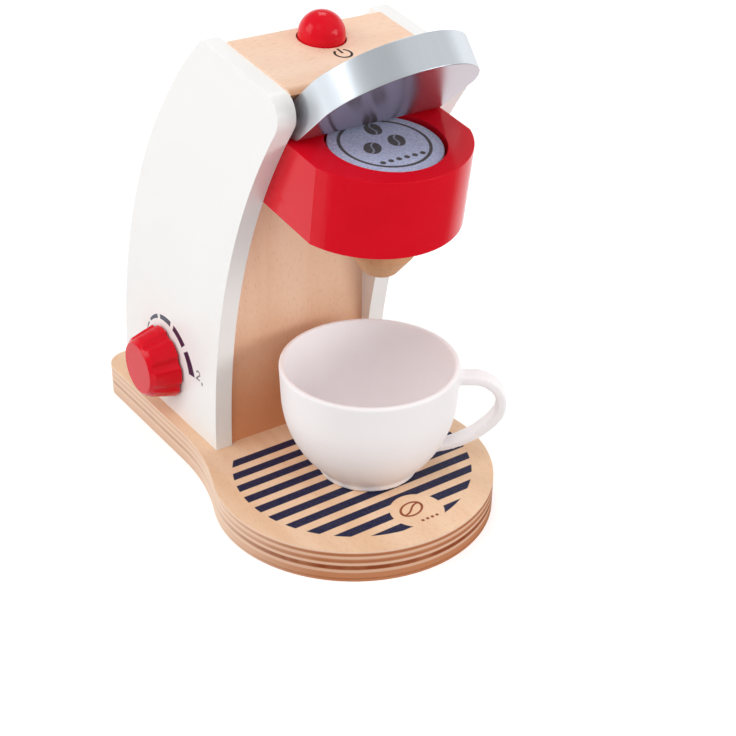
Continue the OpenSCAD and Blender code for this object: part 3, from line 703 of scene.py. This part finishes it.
def rounded(node, name, body, slot, width, *finishes, steps=3):
    return round_edges(piece(shape_of(node), name, body, finishes, node), width, steps)


def make_base():
    shape = shape_of("base_board")
    for face in shape.faces:
        face.material_index = 0 if face.normal.z > 0.5 else 1 if face.normal.z > -0.5 else 2
    made = piece(shape, "base", "machine", (TRAY_WOOD, PLY_EDGE, UNDER_WOOD), "base_board")
    return round_edges(made, BASE_ROUND, 4)


def make_lid():
    shape = shape_of("lid")
    turn = LID_OPEN - TILT
    finish_by_way(shape, Vector((0, -sin(turn), -cos(turn))), 0.9)
    made = piece(shape, "lid_shell", "lid", (SILVER_RIM, SILVER_FACE_PINK_REFLECTION), "lid")
    return round_edges(made, LID_ROUND, 4)


def make_cup():
    """The cup with its handle grown softly into its side."""
    made = piece(shape_of("cup"), "cup_shell", "cup", (CUP_WHITE,), "cup")
    grown = made.modifiers.new("grown", "REMESH")
    grown.mode = "VOXEL"
    grown.voxel_size = 0.62 * MM
    grown.use_smooth_shade = True
    soft = made.modifiers.new("soft", "SMOOTH")
    soft.factor = 0.5
    soft.iterations = 9
    return made


def make_spring():
    """The button's return spring, in steel, on a mesh of its own."""
    shape = shape_of("button_spring")
    made = piece(shape, "return_spring", "machine", (STEEL,), "button_spring")
    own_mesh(made)


make_base()
rounded("left_panel", "left_side", "machine", "white_paint", PANEL_ROUND, WHITE_DIAL)
rounded("right_panel", "right_side", "machine", "white_paint", PANEL_ROUND, WHITE)
rounded("top_board", "top_wood", "machine", "beech", SMALL_ROUND, TOP_WOOD_PAINTED_SHADE)
rounded("head_block", "head_shell", "machine", "red_paint", HEAD_ROUND, RED, steps=4)
rounded("spout", "spout_turned", "machine", "beech_dark", 2 * SMALL_ROUND, WARM_WOOD)
make_lid()
rounded("power_button", "button_dome", "button", "red_paint", SMALL_ROUND, RED)
rounded("dial_knob", "knob_grip", "knob", "red_paint", KNOB_ROUND, RED, steps=4)
rounded("pod_felt", "pod_face", "pod", "pod_print", SMALL_ROUND, FELT)
make_cup()
make_spring()

NODE_FINISHES = {
    "front_board": BOARD_WOOD_PAINTED_SHADE, "back_board": BOARD_WOOD_PAINTED_SHADE, "button_block": WARM_WOOD, "hinge_pins": STEEL,
    "knob_shaft": WARM_WOOD, "knob_washer": DARK_FELT, "knob_collar": WARM_WOOD, "coffee_pod": WARM_WOOD,
    "head_dowels": WARM_WOOD, "top_dowels": WARM_WOOD, "board_dowels": WARM_WOOD, "base_screws": STEEL,
}
for node, finish in NODE_FINISHES.items():
    mesh = frame["nodes"][node].data
    mesh.materials.clear()
    mesh.materials.append(finish)


# ---------------------------------------------------------------- studio
def make_floor():
    """A white floor that keeps a soft shadow; seen straight on it is lifted to plain white, also far away."""
    shape = bmesh.new()
    bmesh.ops.create_circle(shape, cap_ends=True, segments=96, radius=4)
    mesh = bpy.data.meshes.new("floor")
    shape.to_mesh(mesh)
    shape.free()
    floor = bpy.data.objects.new("floor", mesh)
    bpy.context.scene.collection.objects.link(floor)
    material, tree, shader, here = new_material("floor_white")
    path = add(tree, "LightPath").outputs
    side = use(tree, SURROUNDINGS, Vector=placed(tree, here, move=(0, -POD.y, 0)))["Side"]
    dim = both(tree, path["Is Glossy Ray"], calc(tree, "SUBTRACT", 1, side))
    feed(tree, shader.inputs["Base Color"], mix(tree, dim, grey(FLOOR_GREY), grey(FLOOR_DIM)))
    shader.inputs["Roughness"].default_value = 0.9
    shown = either(tree, path["Is Camera Ray"], path["Is Transmission Ray"],
                   both(tree, path["Is Glossy Ray"], side))
    x, y, _ = parts_of(tree, here)
    away = soft_step(tree, hypot(tree, x, y), FAR_AWAY, FAR_BLUR)
    far = calc(tree, "MULTIPLY", both(tree, path["Is Camera Ray"], away), FAR_GLOW)
    strength = calc(tree, "MULTIPLY_ADD", shown, FLOOR_GLOW, far)
    glow = add(tree, "Emission", {"Color": grey(1), "Strength": strength})
    together = add(tree, "AddShader", {0: shader.outputs[0], 1: glow.outputs[0]})
    feed(tree, tree.nodes["Material Output"].inputs["Surface"], together.outputs[0])
    mesh.materials.append(material)


def make_world():
    """White to the camera, and as light and in reflections as bright as the studio is in each direction."""
    world = bpy.data.worlds.new("studio")
    bpy.context.scene.world = world
    world.use_nodes = True
    tree = world.node_tree
    path = add(tree, "LightPath").outputs
    shown = either(tree, path["Is Camera Ray"], path["Is Transmission Ray"])
    way = add(tree, "TexCoord").outputs["Generated"]
    around = use(tree, SURROUNDINGS, Vector=way)
    low = calc(tree, "SUBTRACT", 1, soft_step(tree, parts_of(tree, way)[2], WALL_TOP, 0.12))
    light = calc(tree, "MULTIPLY_ADD", both(tree, around["Side"], low), SIDE_LIGHT, DIM_LIGHT)
    light = calc(tree, "MULTIPLY_ADD", around["Front"], FRONT_LIGHT, light)
    background = tree.nodes["Background"]
    feed(tree, background.inputs["Color"], grey(1))
    feed(tree, background.inputs["Strength"], add(
        tree, "MapRange", {"Value": shown, "To Min": light, "To Max": 1}).outputs[0])


def lamp(name, where, size, watts, mirrored=True):
    """A flat lamp aimed at the object; one that isn't mirrored leaves no bright patch in its gloss."""
    data = bpy.data.lights.new(name, "AREA")
    data.shape = "RECTANGLE"
    data.size, data.size_y = size
    data.energy = watts
    made = bpy.data.objects.new(name, data)
    bpy.context.scene.collection.objects.link(made)
    made.location = where
    made.rotation_euler = (Vector(where) - LAMP_AIM).to_track_quat("Z", "Y").to_euler()
    made.visible_glossy = mirrored


def make_camera():
    """A camera that looks back along its turn and rise to the aim, with a slight roll."""
    data = bpy.data.cameras.new("camera")
    data.sensor_width = 36
    data.lens = CAMERA_LENS
    data.clip_start = 0.02
    camera = bpy.data.objects.new("camera", data)
    bpy.context.scene.collection.objects.link(camera)
    look = (Matrix.Rotation(CAMERA_TURN, 4, "Z") @ Matrix.Rotation(pi / 2 - CAMERA_RISE, 4, "X")
            @ Matrix.Rotation(CAMERA_ROLL, 4, "Z"))
    camera.matrix_world = Matrix.Translation(CAMERA_AIM + CAMERA_AWAY * look.col[2].to_3d()) @ look
    bpy.context.scene.camera = camera


make_floor()
make_world()
lamp("left_lamp", (-1.35, 0.35, 0.95), (0.8, 0.8), 7)
lamp("right_lamp", (0.75, -1.22, 0.42), (0.8, 0.5), 6.4)
lamp("top_lamp", (0.44, 0.6, 1.35), (0.5, 0.5), 3)
lamp("front_lamp", (-0.85, -0.6, 1.3), (0.8, 0.8), 6.5, mirrored=False)
make_camera()
bpy.context.scene.view_settings.view_transform = "Standard"
